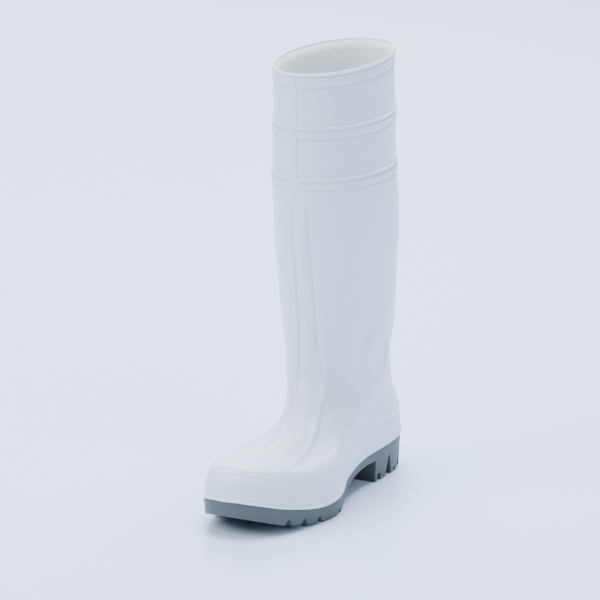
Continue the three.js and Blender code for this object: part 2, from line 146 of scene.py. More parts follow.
# Soft folds and flutes of the upper. level is a section number with its fraction, and turn the place round the
# loop from the front by way of the outer side. width and depth are in millimetres. A negative depth is a ridge.
FOLDS = {
    "inner shin trough": {
        "level": (11.75, 11.2, 10.69, 10, 9.4, 8.58, 7.94, 7.5),
        "turn": (-0.026, -0.023, -0.021, -0.016, -0.014, -0.02, -0.026, -0.055),
        "width": 2.1, "depth": 1.75,
    },
    "outer shin trough": {
        "level": (11.7, 11.2, 10.72, 10.1, 9.27, 8.8, 8.4),
        "turn": (0.026, 0.027, 0.029, 0.035, 0.043, 0.045, 0.046),
        "width": 2.0, "depth": 1.7,
    },
    "ridge between the troughs": {
        "level": (11.6, 10.7, 9.8, 8.9, 8.1),
        "turn": (0.001, 0.004, 0.01, 0.013, 0.012),
        "width": 4.6, "depth": -0.8,
    },
    "shoulder of the vamp": {
        "level": (9.3, 8.5, 7.97, 7.63, 7.23, 6.5, 5.89, 5.2, 4.68, 3.9, 3.3, 2.4),
        "turn": (0.07, 0.076, 0.079, 0.087, 0.101, 0.114, 0.12, 0.124, 0.124, 0.118, 0.109, 0.098),
        "width": 3.8, "depth": -1.15,
    },
    "hollow beside the shoulder": {
        "level": (9.2, 8.5, 7.97, 7.6, 7.2, 6.5, 5.89, 5.2, 4.68, 3.9, 3.3, 2.5),
        "turn": (0.086, 0.092, 0.095, 0.103, 0.117, 0.131, 0.137, 0.14, 0.14, 0.134, 0.124, 0.11),
        "width": 2.8, "depth": 0.6,
    },
    "vamp crease": {
        "level": (6.3, 5.9, 5.5, 5.07, 4.53, 4.0),
        "turn": (0.026, 0.024, 0.016, -0.008, -0.014, 0.0),
        "width": 2.2, "depth": 1.3,
    },
    "ridge beside the vamp crease": {
        "level": (6.2, 5.8, 5.4, 4.95, 4.4, 3.9),
        "turn": (0.05, 0.05, 0.042, 0.018, 0.01, 0.024),
        "width": 3.2, "depth": -0.7,
    },
    "inner instep swell": {
        "level": (8.4, 7.7, 7.2, 6.3, 5.2),
        "turn": (-0.14, -0.145, -0.147, -0.18, -0.226),
        "width": 11.0, "depth": -2.2,
    },
    "inner vamp hollow": {
        "level": (4.4, 3.9, 3.63, 3.3, 3.0),
        "turn": (-0.235, -0.227, -0.2, -0.204, -0.206),
        "width": 9.0, "depth": 2.4,
    },
    "inner toe swell": {
        "level": (2.75, 2.62, 2.6, 2.75, 2.95),
        "turn": (-0.2, -0.185, -0.165, -0.13, -0.09),
        "width": 11.0, "depth": -1.9,
    },
    "faint shin ridge": {
        "level": (10.6, 9.72, 9.1, 8.56),
        "turn": (0.066, 0.066, 0.067, 0.067),
        "width": 2.2, "depth": -0.6,
    },
    "dimple at the toe cap": {
        "level": (2.75, 2.3),
        "turn": (0.104, 0.104),
        "width": 4.0, "depth": 0.8,
    },
    "inner ankle hollow": {
        "level": (9.4, 8.6, 7.9, 7.3),
        "turn": (-0.1, -0.11, -0.13, -0.16),
        "width": 9.0, "depth": 0.6,
    },
    "blemish": {
        "level": (11.2, 11.14),
        "turn": (0.147, 0.147),
        "width": 1.1, "depth": 0.5,
    },
    "heel step": {
        "level": (1.1, 1.14, 1.16, 1.12, 1.1),
        "turn": (0.29, 0.33, 0.38, 0.44, 0.5),
        "width": 1.0, "depth": 0.25,
    },
}

# Fine relief of the upper
BAND_RAISE = 1.15
BAND_GROOVE = 0.9
BAND_FOOT_GROOVE = 0.6
BEAD_RISE = 0.8
COLLAR_BEAD = 1.5
COLLAR_GROOVE = 1.05
CAP_LINE_RISE = 0.34
CAP_LINE_GROOVE = 0.12
CAP_ROUNDING = 1.3
LIP_HEIGHT = 3
LIP_RISE = 1.15
LIP_GROOVE = 0.45
RIM_THINNING = 1.9
RIM_FULLNESS = 1.06

# The mould's parting line down the front of the cuff: place across, lowest point, half width, rearmost place
PARTING_X = -5.6
PARTING_FOOT = 293
PARTING_WIDTH = 0.6
PARTING_REAR = 20

# The plain rings over the ankle: share of the outer one's radius, and width of the bead
ANKLE_RINGS = {
    "ankle_ring_outer": (1, 1.5),
    "ankle_ring_inner": (0.77, 1.3),
}
RING_LEVEL = 8.34
RING_TURN = 0.243
RING_RISE = 0.7

# Rows and columns of the upper's skin. Where the relief is fine, extra rows lie at given distances: down from
# each band's upper line, and up from the toe cap's line and the sole's edge.
UPPER_COLUMNS = 296
INNER_ROWS = 46
RIM_ROWS = 15
OUTER_ROWS = 205
BAND_ROWS = (
    -0.9, -0.5, -0.25, 0, 0.3, 0.8, 1.2, 1.5, 1.85, 2.2, 2.6, 2.95, 3.3, 3.8,
    9.6, 10, 10.35, 10.7, 11, 11.4, 12,
)
CAP_ROWS = (-1.8, -1.2, -0.7, -0.3, 0, 0.3, 0.7, 1.2, 1.8, 2.4, 3.2)
LIP_ROWS = (0.6, 1.2, 1.8, 2.3, 2.7, 3, 3.4, 3.8, 4.4)
ROW_SPACING_TURN = 0.12
TURN_SPREAD = 0.42

# Lining and insole
LINING_THICKNESS = 0.55
LINING_GAP = 0.1
LINING_LEVELS = (0.9, 13.985)
INSOLE_THICKNESS = 3.7
INSOLE_SLACK = 1.3
INSOLE_CROWN = 0.25

# Camera: directions in radians, lens in millimetres. The boot stands a little left of the view's middle.
CAMERA_HEADING = 0.494
CAMERA_TURN = 0.497
CAMERA_TILT = 0.221
CAMERA_LENS = 175.6

# Floor, in metres: half width, length, reach before the boot, and the bend up to the backdrop
FLOOR_HALF_WIDTH = 14
FLOOR_LENGTH = 18.5
FLOOR_FRONT = 10
FLOOR_BEND_START = 4.4
FLOOR_BEND_RADIUS = 1.2
BACKDROP_LIGHT_RUN = 3.1
BACKDROP_LIGHT_HEIGHT = 2.4
WORLD_COLOUR = (0.62, 0.8, 1.0, 1)
WORLD_LIGHT = 0.44


def smoothstep(value, low, high):
    """0 up to low and 1 from high, with a smooth rise between them."""
    t = np.clip((value - low) / (high - low), 0, 1)
    return t * t * (3 - 2 * t)


def mix(low, high, share):
    """The value a share of the way from low to high."""
    return low + (high - low) * share


def bell(distance, width):
    """A soft bump that is 1 at no distance and fades over its width."""
    return np.exp(-(distance / width) ** 2)


def place(along):
    """Where a share of the sole's length lies on the y axis."""
    return (np.asarray(along, float) - 0.5) * SOLE_LENGTH


def curve_through(places, values):
    """A smooth curve through values at rising places that never overshoots them."""
    places = np.asarray(places, float)
    values = np.asarray(values, float)
    rise = np.diff(values) / np.diff(places)
    slope = np.zeros_like(values)
    slope[0] = rise[0]
    slope[-1] = rise[-1]
    before = rise[:-1]
    after = rise[1:]
    same = before * after > 0
    slope[1:-1][same] = 2 * before[same] * after[same] / (before[same] + after[same])

    def read(at):
        at = np.asarray(at, float)
        i = np.clip(np.searchsorted(places, at, side="right") - 1, 0, len(places) - 2)
        span = places[i + 1] - places[i]
        t = np.clip((at - places[i]) / span, 0, 1)
        s = 1 - t
        ends = values[i] * s * s * (1 + 2 * t) + values[i + 1] * t * t * (3 - 2 * t)
        return ends + span * t * s * (slope[i] * s - slope[i + 1] * t)

    return read


def column(table, key, scale=1):
    """A table's column in millimetres."""
    return np.asarray(table[key], float) * scale


print_middle = curve_through(FOOTPRINT["along"], column(FOOTPRINT, "middle", BALL_WIDTH))
print_fullness = curve_through(FOOTPRINT["along"], column(FOOTPRINT, "fullness", BALL_WIDTH))
top_line = curve_through(
    place(SOLE_LINE["along"]),
    FOREPART_DEPTH + column(SOLE_LINE, "spring", TOE_SPRING)
    + column(SOLE_LINE, "lift", HEEL_HEIGHT - FOREPART_DEPTH),
)
toe_top = float(top_line(place(0)))
heel_top = float(top_line(place(1)))
under_line = curve_through(
    place(SOLE_LINE["along"]),
    column(SOLE_LINE, "under", TOE_SPRING) + column(SOLE_LINE, "arch", ARCH_HEIGHT),
)


def section_columns():
    """Every column of the section tables as a smooth curve over the levels."""
    foot = FOOT_SECTIONS
    shaft = SHAFT_SECTIONS
    feet = len(foot["front"])
    legs = len(shaft["front"])
    centre = float(place(SHAFT_CENTRE))
    half = column(shaft, "width", SHAFT_WIDTH / 2)
    shift = column(shaft, "middle", SHAFT_SHIFT)
    rows = {
        "front_y": (place(foot["front"]), centre - column(shaft, "front", SHAFT_LENGTH / 2)),
        "back_y": (place(foot["back"]), centre + column(shaft, "back", SHAFT_LENGTH / 2)),
        "front_z": (
            toe_top + column(foot, "front_rise", INSTEP_RISE), column(shaft, "front_height", BOOT_HEIGHT)),
        "back_z": (
            heel_top + column(foot, "back_rise", INSTEP_RISE), column(shaft, "back_height", BOOT_HEIGHT)),
        "fore": (column(foot, "fore", BALL_WIDTH), half),
        "rear": (column(foot, "rear", BALL_WIDTH), half),
        "heel": (column(foot, "heel", BALL_WIDTH), half),
        "middle": (column(foot, "middle", BALL_WIDTH), shift),
        "rear_middle": (np.full(feet, REAR_MIDDLE * BALL_WIDTH), shift),
        "print": (column(foot, "print"), np.zeros(legs)),
        "lie": (column(foot, "lie"), np.zeros(legs)),
    }
    levels = np.arange(feet + legs)
    return {key: curve_through(levels, np.concatenate(pair)) for key, pair in rows.items()}


SECTION = section_columns()


def form_point(level, turn):
    """Points of the upper's form for arrays of levels and turns."""
    level, turn = np.broadcast_arrays(np.asarray(level, float), np.asarray(turn, float))
    at = {key: read(level) for key, read in SECTION.items()}
    angle = turn * 2 * np.pi
    along = (1 - np.cos(angle)) / 2
    to_rear = smoothstep(along, 0, FORE_END)
    waist = mix(at["fore"], at["rear"], to_rear)
    free = mix(waist, at["heel"], smoothstep(along, HEEL_START, 1))
    free_middle = mix(at["middle"], at["rear_middle"], to_rear)
    half = mix(free, print_fullness(along), at["print"])
    middle = mix(free_middle, print_middle(along), at["print"])
    y = mix(at["front_y"], at["back_y"], along)
    dip = top_line(y) - mix(toe_top, heel_top, along)
    z = mix(at["front_z"], at["back_z"], along) + dip * at["lie"]
    return np.stack([middle + half * np.sin(angle), y, z], -1)


def outward(level, turn):
    """The form's outward directions. Along the sole's edge they are level."""
    step = 0.002
    level, turn = np.broadcast_arrays(np.asarray(level, float), np.asarray(turn, float))
    around = form_point(level, turn + step) - form_point(level, turn - step)
    rise = form_point(np.minimum(level + step, COLLAR), turn) - form_point(np.maximum(level - step, 0), turn)
    normal = np.cross(around, rise)
    flat = np.stack([around[..., 1], -around[..., 0], np.zeros_like(level)], -1)
    normal = np.where((level <= 0)[..., None], flat, normal)
    return normal / np.linalg.norm(normal, axis=-1, keepdims=True)


def spread_turn(share):
    """Turns for even shares of a round: closer together at the front, where the folds are."""
    return share - TURN_SPREAD * np.sin(2 * np.pi * share) / (2 * np.pi)


def level_at(height):
    """The level whose front point lies at a height."""
    levels = np.linspace(0, COLLAR, 4001)
    return float(np.interp(height, SECTION["front_z"](levels), levels))


def frame_shift():
    """How far the frame stands from the form's own middle, in millimetres."""
    low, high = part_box("outsole")
    turns = np.linspace(0, 1, 4001)
    edge = form_point(0, turns)
    x = (low.x + high.x) / 2 / MM - (edge[:, 0].min() + edge[:, 0].max()) / 2
    y = (low.y + high.y) / 2 / MM - (edge[:, 1].min() + edge[:, 1].max()) / 2
    return np.array([x, y, 0])


SHIFT = frame_shift()


# Mesh making

def moved_grid(name, columns, rows, placed, uv_size=None, attributes=None):
    """A grid whose points are placed by column and row, closed where they meet."""
    mesh = bpy.data.meshes.new(name)
    bm = bmesh.new()
    bmesh.ops.create_grid(bm, x_segments=columns, y_segments=rows, size=1)
    bm.verts.ensure_lookup_table()
    flat = np.array([(v.co.x, v.co.y) for v in bm.verts])
    over = np.rint((flat[:, 0] + 1) / 2 * columns).astype(int)
    up = np.rint((flat[:, 1] + 1) / 2 * rows).astype(int)
    points = (placed(over, up) + SHIFT) * MM
    for vert, point in zip(bm.verts, points):
        vert.co = point
    if attributes:
        values = attributes(over, up)
        for key, column_values in values.items():
            layer = bm.verts.layers.float.new(key)
            for vert, value in zip(bm.verts, column_values):
                vert[layer] = float(value)
    if uv_size:
        layer = bm.loops.layers.uv.new("surface")
        width, height = uv_size
        for face in bm.faces:
            for loop in face.loops:
                i = loop.vert.index
                loop[layer].uv = (over[i] / columns * width, up[i] / rows * height)
    bmesh.ops.remove_doubles(bm, verts=bm.verts[:], dist=1e-6)
    bmesh.ops.recalc_face_normals(bm, faces=bm.faces[:])
    for face in bm.faces:
        face.smooth = True
    bm.to_mesh(mesh)
    bm.free()
    piece = bpy.data.objects.new(name, mesh)
    bpy.context.scene.collection.objects.link(piece)
    return piece


def dress(piece, material, node):
    """Gives a piece its finish, hangs it on the root body and hides the solid it stands for."""
    piece.data.materials.append(material)
    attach(piece, "root")
    if node:
        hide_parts(node)


def fold_line(fold, steps=48):
    """A fold's course over the form."""
    count = np.arange(len(fold["level"]))
    at = np.linspace(0, count[-1], steps)
    level = curve_through(count, fold["level"])(at)
    turn = curve_through(count, fold["turn"])(at)
    return form_point(level, turn)


def distance_to_line(points, line):
    """Distance of each point from a line of points, and how far along it the nearest place lies."""
    best = np.full(len(points), 1e9)
    share = np.zeros(len(points))
    last = len(line) - 1
    for i in range(last):
        start = line[i]
        edge = line[i + 1] - start
        t = np.clip((points - start) @ edge / (edge @ edge), 0, 1)
        gap = np.linalg.norm(points - start - t[:, None] * edge, axis=1)
        nearer = gap < best
        best[nearer] = gap[nearer]
        share[nearer] = (i + t[nearer]) / last
    return best, share


def fold_depth(points, strength):
    """How far the folds sink the surface. A long one fades at both ends, and a dent of two points doesn't."""
    sink = np.zeros(len(points))
    for fold in FOLDS.values():
        line = fold_line(fold)
        reach = 3 * fold["width"] + 2
        near = np.all((points > line.min(0) - reach) & (points < line.max(0) + reach), axis=1)
        gap, share = distance_to_line(points[near], line)
        ends = smoothstep(share, 0, 0.18) * (1 - smoothstep(share, 0.82, 1))
        if len(fold["level"]) < 3:
            ends = 1
        over = gap / fold["width"]
        sink[near] += fold["depth"] * (0.55 * bell(over, 1) + 0.45 * np.exp(-2.4 * over)) * ends
    return sink * strength


def band_raise(down, bead, groove):
    """How far a band stands out of the wall at a distance down from its upper line."""
    height = bpy.context.scene.boot_upper.band_height / MM
    strip = smoothstep(down, -0.5, 0.1) * (1 - smoothstep(down, height, height + 0.7))
    over_bead = np.clip(down / bead, 0, 1)
    crease = groove * bell(down - bead - 0.35, 0.5) + BAND_FOOT_GROOVE * bell(down - height - 0.95, 0.5)
    return BAND_RAISE * strip + BEAD_RISE * np.sin(np.pi * over_bead) - crease


def upper_relief(level, turn, points):
    """How far the outer face stands out of the form."""
    up = bpy.context.scene.boot_upper
    height = SECTION["front_z"](level)
    out = np.zeros_like(height)
    for band in (LOWER_BAND, UPPER_BAND):
        out += band_raise(SECTION["front_z"](band) - height, up.bead_height / MM, BAND_GROOVE)
    out += band_raise(SECTION["front_z"](COLLAR) - height, COLLAR_BEAD, COLLAR_GROOVE)
    over_edge = height - SECTION["front_z"](CAP_EDGE)
    fade_to_rear = 1 - smoothstep(points[:, 1], place(0.1), place(0.22))
    fade_to_outer_side = 1 - 0.6 * smoothstep(turn, 0.04, 0.12) * (turn < 0.5)
    cap_line = CAP_LINE_RISE * bell(over_edge, 0.8) - CAP_LINE_GROOVE * bell(over_edge - 2.2, 1.1)
    out += fade_to_rear * fade_to_outer_side * cap_line
    out -= CAP_ROUNDING * bell(over_edge, 5.5)
    over_lip = height - toe_top
    across_lip = np.clip(over_lip / LIP_HEIGHT, 0, 1)
    out += LIP_RISE * np.sqrt(1 - across_lip ** 2) - LIP_GROOVE * bell(over_lip - 3.6, 0.8)
    return out - fold_depth(points, up.fold_strength)


def upper_rows():
    """Level, depth, lift and side of every row, from the inside up, over the rim and down the outside."""
    inner = np.linspace(0, COLLAR, INNER_ROWS)
    spaced = np.linspace(0, COLLAR, 2001)
    side_line = form_point(spaced, ROW_SPACING_TURN)
    run = np.concatenate([[0], np.cumsum(np.linalg.norm(np.diff(side_line, axis=0), axis=1))])
    outer = list(np.interp(np.linspace(0, run[-1], OUTER_ROWS), run, spaced))
    heights = []
    for band in (LOWER_BAND, UPPER_BAND, COLLAR):
        line = float(SECTION["front_z"](band))
        heights += [line - down for down in BAND_ROWS if band != COLLAR or down > 0]
    edge = float(SECTION["front_z"](CAP_EDGE))
    heights += [edge + over for over in CAP_ROWS]
    heights += [toe_top + over for over in LIP_ROWS]
    fine = sorted(level_at(height) for height in heights)
    outer = [at for at in outer if at in (0, COLLAR) or min(abs(at - other) for other in fine) > 0.02]
    outer = np.array(sorted(outer + fine))
    angle = np.linspace(0, np.pi, RIM_ROWS + 2)[1:-1]
    rim_level = np.full(RIM_ROWS, float(COLLAR))
    rim_depth = WALL / 2 * (1 + np.cos(angle))
    rim_end = INNER_ROWS + RIM_ROWS
    level = np.concatenate([inner, rim_level, outer[::-1], [0.0]])
    depth = np.concatenate([np.full(INNER_ROWS, WALL), rim_depth, np.zeros(len(outer)), [WALL]])
    lift = np.zeros(len(level))
    lift[INNER_ROWS:rim_end] = WALL / 2 * np.sin(angle)
    outside = np.zeros(len(level), bool)
    outside[rim_end:-1] = True
    return level, depth, lift, outside


def build_upper():
    """The hollow upper with its bands, lip, toe-cap line and folds."""
    level, depth, lift, outside = upper_rows()

    def placed(over, up):
        rows = level[up]
        turn = spread_turn(over / UPPER_COLUMNS)
        base = form_point(rows, turn)
        normal = outward(rows, turn)
        thinned = RIM_THINNING * smoothstep(rows, COLLAR - 0.25, COLLAR) / WALL
        away = -depth[up] * (1 - thinned)
        face = outside[up]
        away[face] += upper_relief(rows[face], turn[face], base[face])
        rim = (rows >= COLLAR) & ~face
        away[rim] += RIM_FULLNESS * (1 - depth[up][rim] / WALL)
        points = base + normal * away[:, None]
        points[:, 2] += lift[up]
        bottom = rows <= 0
        points[bottom, 2] = top_line(points[bottom, 1]) + FIT_GAP
        return points

    def masks(over, up):
        base = form_point(level[up], spread_turn(over / UPPER_COLUMNS))
        # The hollow mask holds how deep the folds sink the outer face. The white finish uses it to paint shade
        # into the troughs.
        return {"hollow": np.clip(fold_depth(base, 1), -1, 1) * outside[up]}

    return moved_grid("upper_shell", UPPER_COLUMNS, len(level) - 1, placed, attributes=masks)


def ring_point(centre, radius, angle):
    """Points of the form at a radius from a place on it, as seen from the side, and their outward ways."""
    level = np.full_like(angle, RING_LEVEL)
    turn = np.full_like(angle, RING_TURN)
    level_step = 0.01
    turn_step = 0.001
    for _ in range(12):
        here = form_point(level, turn)
        by_level = (form_point(level + level_step, turn) - here)[:, 1:] / level_step
        by_turn = (form_point(level, turn + turn_step) - here)[:, 1:] / turn_step
        miss = centre[1:] + radius * np.stack([np.cos(angle), np.sin(angle)], -1) - here[:, 1:]
        area = by_level[:, 0] * by_turn[:, 1] - by_level[:, 1] * by_turn[:, 0]
        level = level + (miss[:, 0] * by_turn[:, 1] - miss[:, 1] * by_turn[:, 0]) / area
        turn = turn + (by_level[:, 0] * miss[:, 1] - by_level[:, 1] * miss[:, 0]) / area
    return form_point(level, turn), outward(level, turn)


def build_ring(name, radius, width):
    """A plain half-round bead laid on the side of the ankle in a ring."""
    around = 120
    section = 10
    centre = form_point(RING_LEVEL, RING_TURN)

    def placed(over, up):
        angle = over / around * 2 * np.pi
        base, normal = ring_point(centre, radius, angle)
        across = base - centre
        across -= normal * np.sum(across * normal, axis=1)[:, None]
        across /= np.linalg.norm(across, axis=1)[:, None]
        round_angle = (up % section) / section * 2 * np.pi
        side = np.cos(round_angle) * width / 2
        rise = np.sin(round_angle) * RING_RISE
        return base + across * side[:, None] + normal * rise[:, None]

    return moved_grid(name, around, section, placed)


def build_lining():
    """A thin knitted lining inside the shaft and foot."""
    columns = 150
    rows_up = 84
    face = WALL + LINING_GAP
    upward = np.linspace(*LINING_LEVELS, rows_up)
    level = np.concatenate([upward, upward[::-1], upward[:1]])
    depth = np.concatenate([np.full(rows_up, face), np.full(rows_up, face + LINING_THICKNESS), [face]])

    def placed(over, up):
        turn = over / columns
        rows = level[up]
        thinned = RIM_THINNING * smoothstep(rows, COLLAR - 0.25, COLLAR)
        return form_point(rows, turn) - outward(rows, turn) * (depth[up] - thinned)[:, None]

    return moved_grid("shaft_lining", columns, len(level) - 1, placed, uv_size=(0.39, 0.9))


def along_rows(special, count, finest):
    """Places along the sole: close together at its rounded ends and at every edge given."""
    even = (1 - np.cos(np.linspace(0, np.pi, count))) / 2
    even = np.concatenate([even, np.linspace(0.02, 0.98, count)])
    special = np.unique(np.round(special, 5))
    kept = [a for a in np.unique(even) if a in (0, 1) or np.min(np.abs(special - a)) > finest]
    out = [0.0]
    for a in sorted(set(kept) | set(special.tolist())):
        if a - out[-1] > 1e-4 or a == 1:
            out.append(a)
    return np.array(out)


def tread_lift(along, x, inner, outer):
    """How far the sole's underside is cut up at a place along it and across it."""
    from_edge = np.minimum(x - inner, outer - x)
    y = place(along)
    lift = np.zeros_like(y)
    for at, full in zip(FOREPART_GROOVES["along"], FOREPART_GROOVES["full"]):
        gap = np.abs(y - place(at))
        half = GROOVE_WIDTH / 2
        depth = GROOVE_DEPTH * np.clip((half - gap) / (half - GROOVE_ROOT / 2), 0, 1)
        if not full:
            depth = depth * smoothstep(from_edge, EDGE_BORDER - 1, EDGE_BORDER + 1)
        lift = np.maximum(lift, depth)
    for at, foot, top, height in zip(*(HEEL_CUTS[key] for key in ("along", "foot", "top", "height"))):
        gap = np.abs(y - place(at))
        low = foot * SOLE_LENGTH / 2
        high = top * SOLE_LENGTH / 2
        depth = height * ARCH_HEIGHT * np.clip((low - gap) / (low - high), 0, 1)
        depth = depth * (1 - smoothstep(from_edge, HEEL_CUT_DEPTH - 0.8, HEEL_CUT_DEPTH))
        lift = np.maximum(lift, depth)
    return lift


def build_outsole():
    """The lugged outsole, lofted along its length as one closed skin."""
    edges = [HEEL_BREAST, HEEL_BREAST - 0.002]
    for at in FOREPART_GROOVES["along"]:
        for half in (GROOVE_WIDTH / 2, GROOVE_ROOT / 2, 0):
            edges += [at - half / SOLE_LENGTH, at + half / SOLE_LENGTH]
    for at, foot, top in zip(HEEL_CUTS["along"], HEEL_CUTS["foot"], HEEL_CUTS["top"]):
        for half in (foot / 2 + 0.0005, foot / 2, mix(foot, top, 0.5) / 2, top / 2):
            edges += [at - half, at + half]
    alongs = along_rows(np.array(edges), 170, 0.0008)
    cross = (0, 0.008, 0.02, 0.05, 0.09, 0.105, 0.115, 0.125, 0.17, 0.25, 0.35, 0.45)
    across = np.array(cross + (0.5,) + tuple(1 - share for share in cross[::-1]))
    walls = np.array([0.04, 0.1, 0.2, 0.32, 0.44, 0.56, 0.68, 0.8, 0.9, 0.96])
    tops = np.linspace(1, 0, 13)
    share = np.concatenate([across, np.ones(len(walls)), tops, np.zeros(len(walls) + 1)])
    climb = np.concatenate([np.zeros(len(across)), walls, np.ones(len(tops)), walls[::-1], [0]])

    def placed(over, up):
        along = alongs[over]
        y = place(along)
        reach = print_fullness(along) * np.sin(np.arccos(1 - 2 * along))
        inner = print_middle(along) - reach
        outer = print_middle(along) + reach
        x = mix(inner, outer, share[up])
        under = under_line(y)
        under = np.where(along >= HEEL_BREAST, 0, under)
        low = under + tread_lift(along, x, inner, outer)
        high = top_line(y)
        low = np.minimum(low, high - 1.5)
        z = mix(low, high, climb[up])
        draft = SOLE_DRAFT * (high - z) / np.maximum(high, 1)
        round_low = 0.5 * bell(z - low, 0.45) * (climb[up] < 0.5)
        round_high = 0.45 * bell(high - z, 0.35) * (climb[up] >= 0.5)
        pull = np.minimum(draft + round_low + round_high, reach)
        middle = (inner + outer) / 2
        x = middle + (x - middle) * (1 - pull / np.maximum(reach, 1e-6))
        length_pull = 1 - 2 * draft / SOLE_LENGTH
        return np.stack([x, y * length_pull, z], -1)

    return moved_grid("outsole_tread", len(alongs) - 1, len(share) - 1, placed)


def build_insole():
    """The insole: a soft board with rounded edges and a slight crown."""
    rows = (1 - np.cos(np.linspace(0, np.pi, 121))) / 2
    inset = WALL + INSOLE_SLACK
    around = np.linspace(0, 2 * np.pi, 41)

    def placed(over, up):
        along = rows[over]
        y = place(along) * (1 - 2 * inset / SOLE_LENGTH)
        reach = print_fullness(along) * np.sin(np.arccos(1 - 2 * along))
        half = np.maximum(reach - inset, 0) * np.where(reach > 0, 1, 0)
        ring = around[up]
        side = np.cos(ring)
        x = print_middle(along) + half * np.sign(side) * np.abs(side) ** 0.35
        rise = np.sign(np.sin(ring)) * np.abs(np.sin(ring)) ** 0.6
        crown = INSOLE_CROWN * (1 - side ** 2)
        middle = INSOLE_THICKNESS / 2
        seat = top_line(y) + FIT_GAP
        z = seat + middle + rise * (middle + crown) * np.where(half > 0, 1, 0)
        z = np.maximum(z, seat)
        return np.stack([x, y, z], -1)

    return moved_grid("insole_board", len(rows) - 1, len(around) - 1, placed, uv_size=(0.3, 0.24))


# Materials

def new_group(name, inputs, outputs):
    """An empty shader node group with named inputs and outputs."""
    group = bpy.data.node_groups.new(name, "ShaderNodeTree")
    for label, kind, value in inputs:
        socket = group.interface.new_socket(label, in_out="INPUT", socket_type=kind)
        if value is not None:
            socket.default_value = value
    for label, kind in outputs:
        group.interface.new_socket(label, in_out="OUTPUT", socket_type=kind)
    start = group.nodes.new("NodeGroupInput")
    end = group.nodes.new("NodeGroupOutput")
    return group, start, end


def add(tree, kind, **values):
    """A node with the properties given."""
    node = tree.nodes.new(kind)
    for key, value in values.items():
        setattr(node, key, value)
    return node


def feed(tree, socket, value):
    """Links an output to a socket, or sets the socket to a plain value."""
    if isinstance(value, bpy.types.NodeSocket):
        tree.links.new(value, socket)
    else:
        socket.default_value = value


def noise(tree, vector, scale, detail=3.0, roughness=0.55):
    """Cloudy noise on a vector."""
    node = add(tree, "ShaderNodeTexNoise")
    for key, value in (("Vector", vector), ("Scale", scale), ("Detail", detail), ("Roughness", roughness)):
        feed(tree, node.inputs[key], value)
    return node.outputs["Fac"]


def maths(tree, operation, first, second=0):
    """The result of a sum on outputs or numbers."""
    node = add(tree, "ShaderNodeMath", operation=operation)
    feed(tree, node.inputs[0], first)
    feed(tree, node.inputs[1], second)
    return node.outputs[0]


def mapped(tree, value, from_low, from_high, to_low, to_high):
    """A value brought from one range to another, and held within it."""
    node = add(tree, "ShaderNodeMapRange")
    feed(tree, node.inputs["Value"], value)
    ends = {"From Min": from_low, "From Max": from_high, "To Min": to_low, "To Max": to_high}
    for key, number in ends.items():
        feed(tree, node.inputs[key], number)
    return node.outputs["Result"]


def mixed_colour(tree, share, first, second):
    """The first colour passing over to the second."""
    node = add(tree, "ShaderNodeMix", data_type="RGBA")
    feed(tree, node.inputs["Factor"], share)
    feed(tree, node.inputs[6], first)
    feed(tree, node.inputs[7], second)
    return node.outputs[2]


def moulded_grain_group():
    """Fine grain and slow waviness of a moulded skin, and a mask of light scuffs."""
    if "moulded grain" in bpy.data.node_groups:
        return bpy.data.node_groups["moulded grain"]
    number = "NodeSocketFloat"
    inputs = (("Vector", "NodeSocketVector", None), ("Grain", number, 900.0), ("Wave", number, 28.0))
    outputs = (("Height", number), ("Scuff", number), ("Cloud", number))
    group, start, end = new_group("moulded grain", inputs, outputs)
    vector = start.outputs["Vector"]
    fine = noise(group, vector, start.outputs["Grain"], 2)
    slow = noise(group, vector, start.outputs["Wave"], 3)
    scuffs = noise(group, vector, 70, 6, 0.7)
    height = maths(group, "ADD", maths(group, "MULTIPLY", fine, 0.12), maths(group, "MULTIPLY", slow, 0.88))
    group.links.new(height, end.inputs["Height"])
    group.links.new(mapped(group, scuffs, 0.6, 0.78, 0, 1), end.inputs["Scuff"])
    group.links.new(mapped(group, slow, 0.3, 0.7, 0, 1), end.inputs["Cloud"])
    return group


def new_material(name):
    """A material, its node tree and its shader."""
    material = bpy.data.materials.new(name)
    material.use_nodes = True
    tree = material.node_tree
    return material, tree, tree.nodes["Principled BSDF"]


def object_vector(tree):
    """Places on the piece itself, in metres."""
    return add(tree, "ShaderNodeTexCoord").outputs["Object"]


def grained(tree, grain, wave):
    """The moulded grain, with a material's own scales."""
    group = add(tree, "ShaderNodeGroup")
    group.node_tree = moulded_grain_group()
    tree.links.new(object_vector(tree), group.inputs["Vector"])
    group.inputs["Grain"].default_value = grain
    group.inputs["Wave"].default_value = wave
    return group


def bump(tree, taker, height, strength, distance, **values):
    """A bump that feeds the normal of a shader or of another bump."""
    node = add(tree, "ShaderNodeBump", **values)
    for key, value in (("Strength", strength), ("Distance", distance), ("Height", height)):
        feed(tree, node.inputs[key], value)
    tree.links.new(node.outputs["Normal"], taker.inputs["Normal"])
    return node


def parting_line(tree, vector):
    """Height of the mould's parting line down the front of the cuff."""
    split = add(tree, "ShaderNodeSeparateXYZ")
    tree.links.new(vector, split.inputs["Vector"])
    middle = (PARTING_X + SHIFT[0]) * MM
    away = maths(tree, "ABSOLUTE", maths(tree, "SUBTRACT", split.outputs["X"], middle))
    line = mapped(tree, away, 0, PARTING_WIDTH * MM, 1, 0)
    high = maths(tree, "GREATER_THAN", split.outputs["Z"], PARTING_FOOT * MM)
    front = maths(tree, "LESS_THAN", split.outputs["Y"], PARTING_REAR * MM)
    return maths(tree, "MULTIPLY", line, maths(tree, "MULTIPLY", high, front))


def tinted(colour, share):
    """A colour made darker or paler."""
    return tuple(channel * share for channel in colour[:3]) + (1.0,)


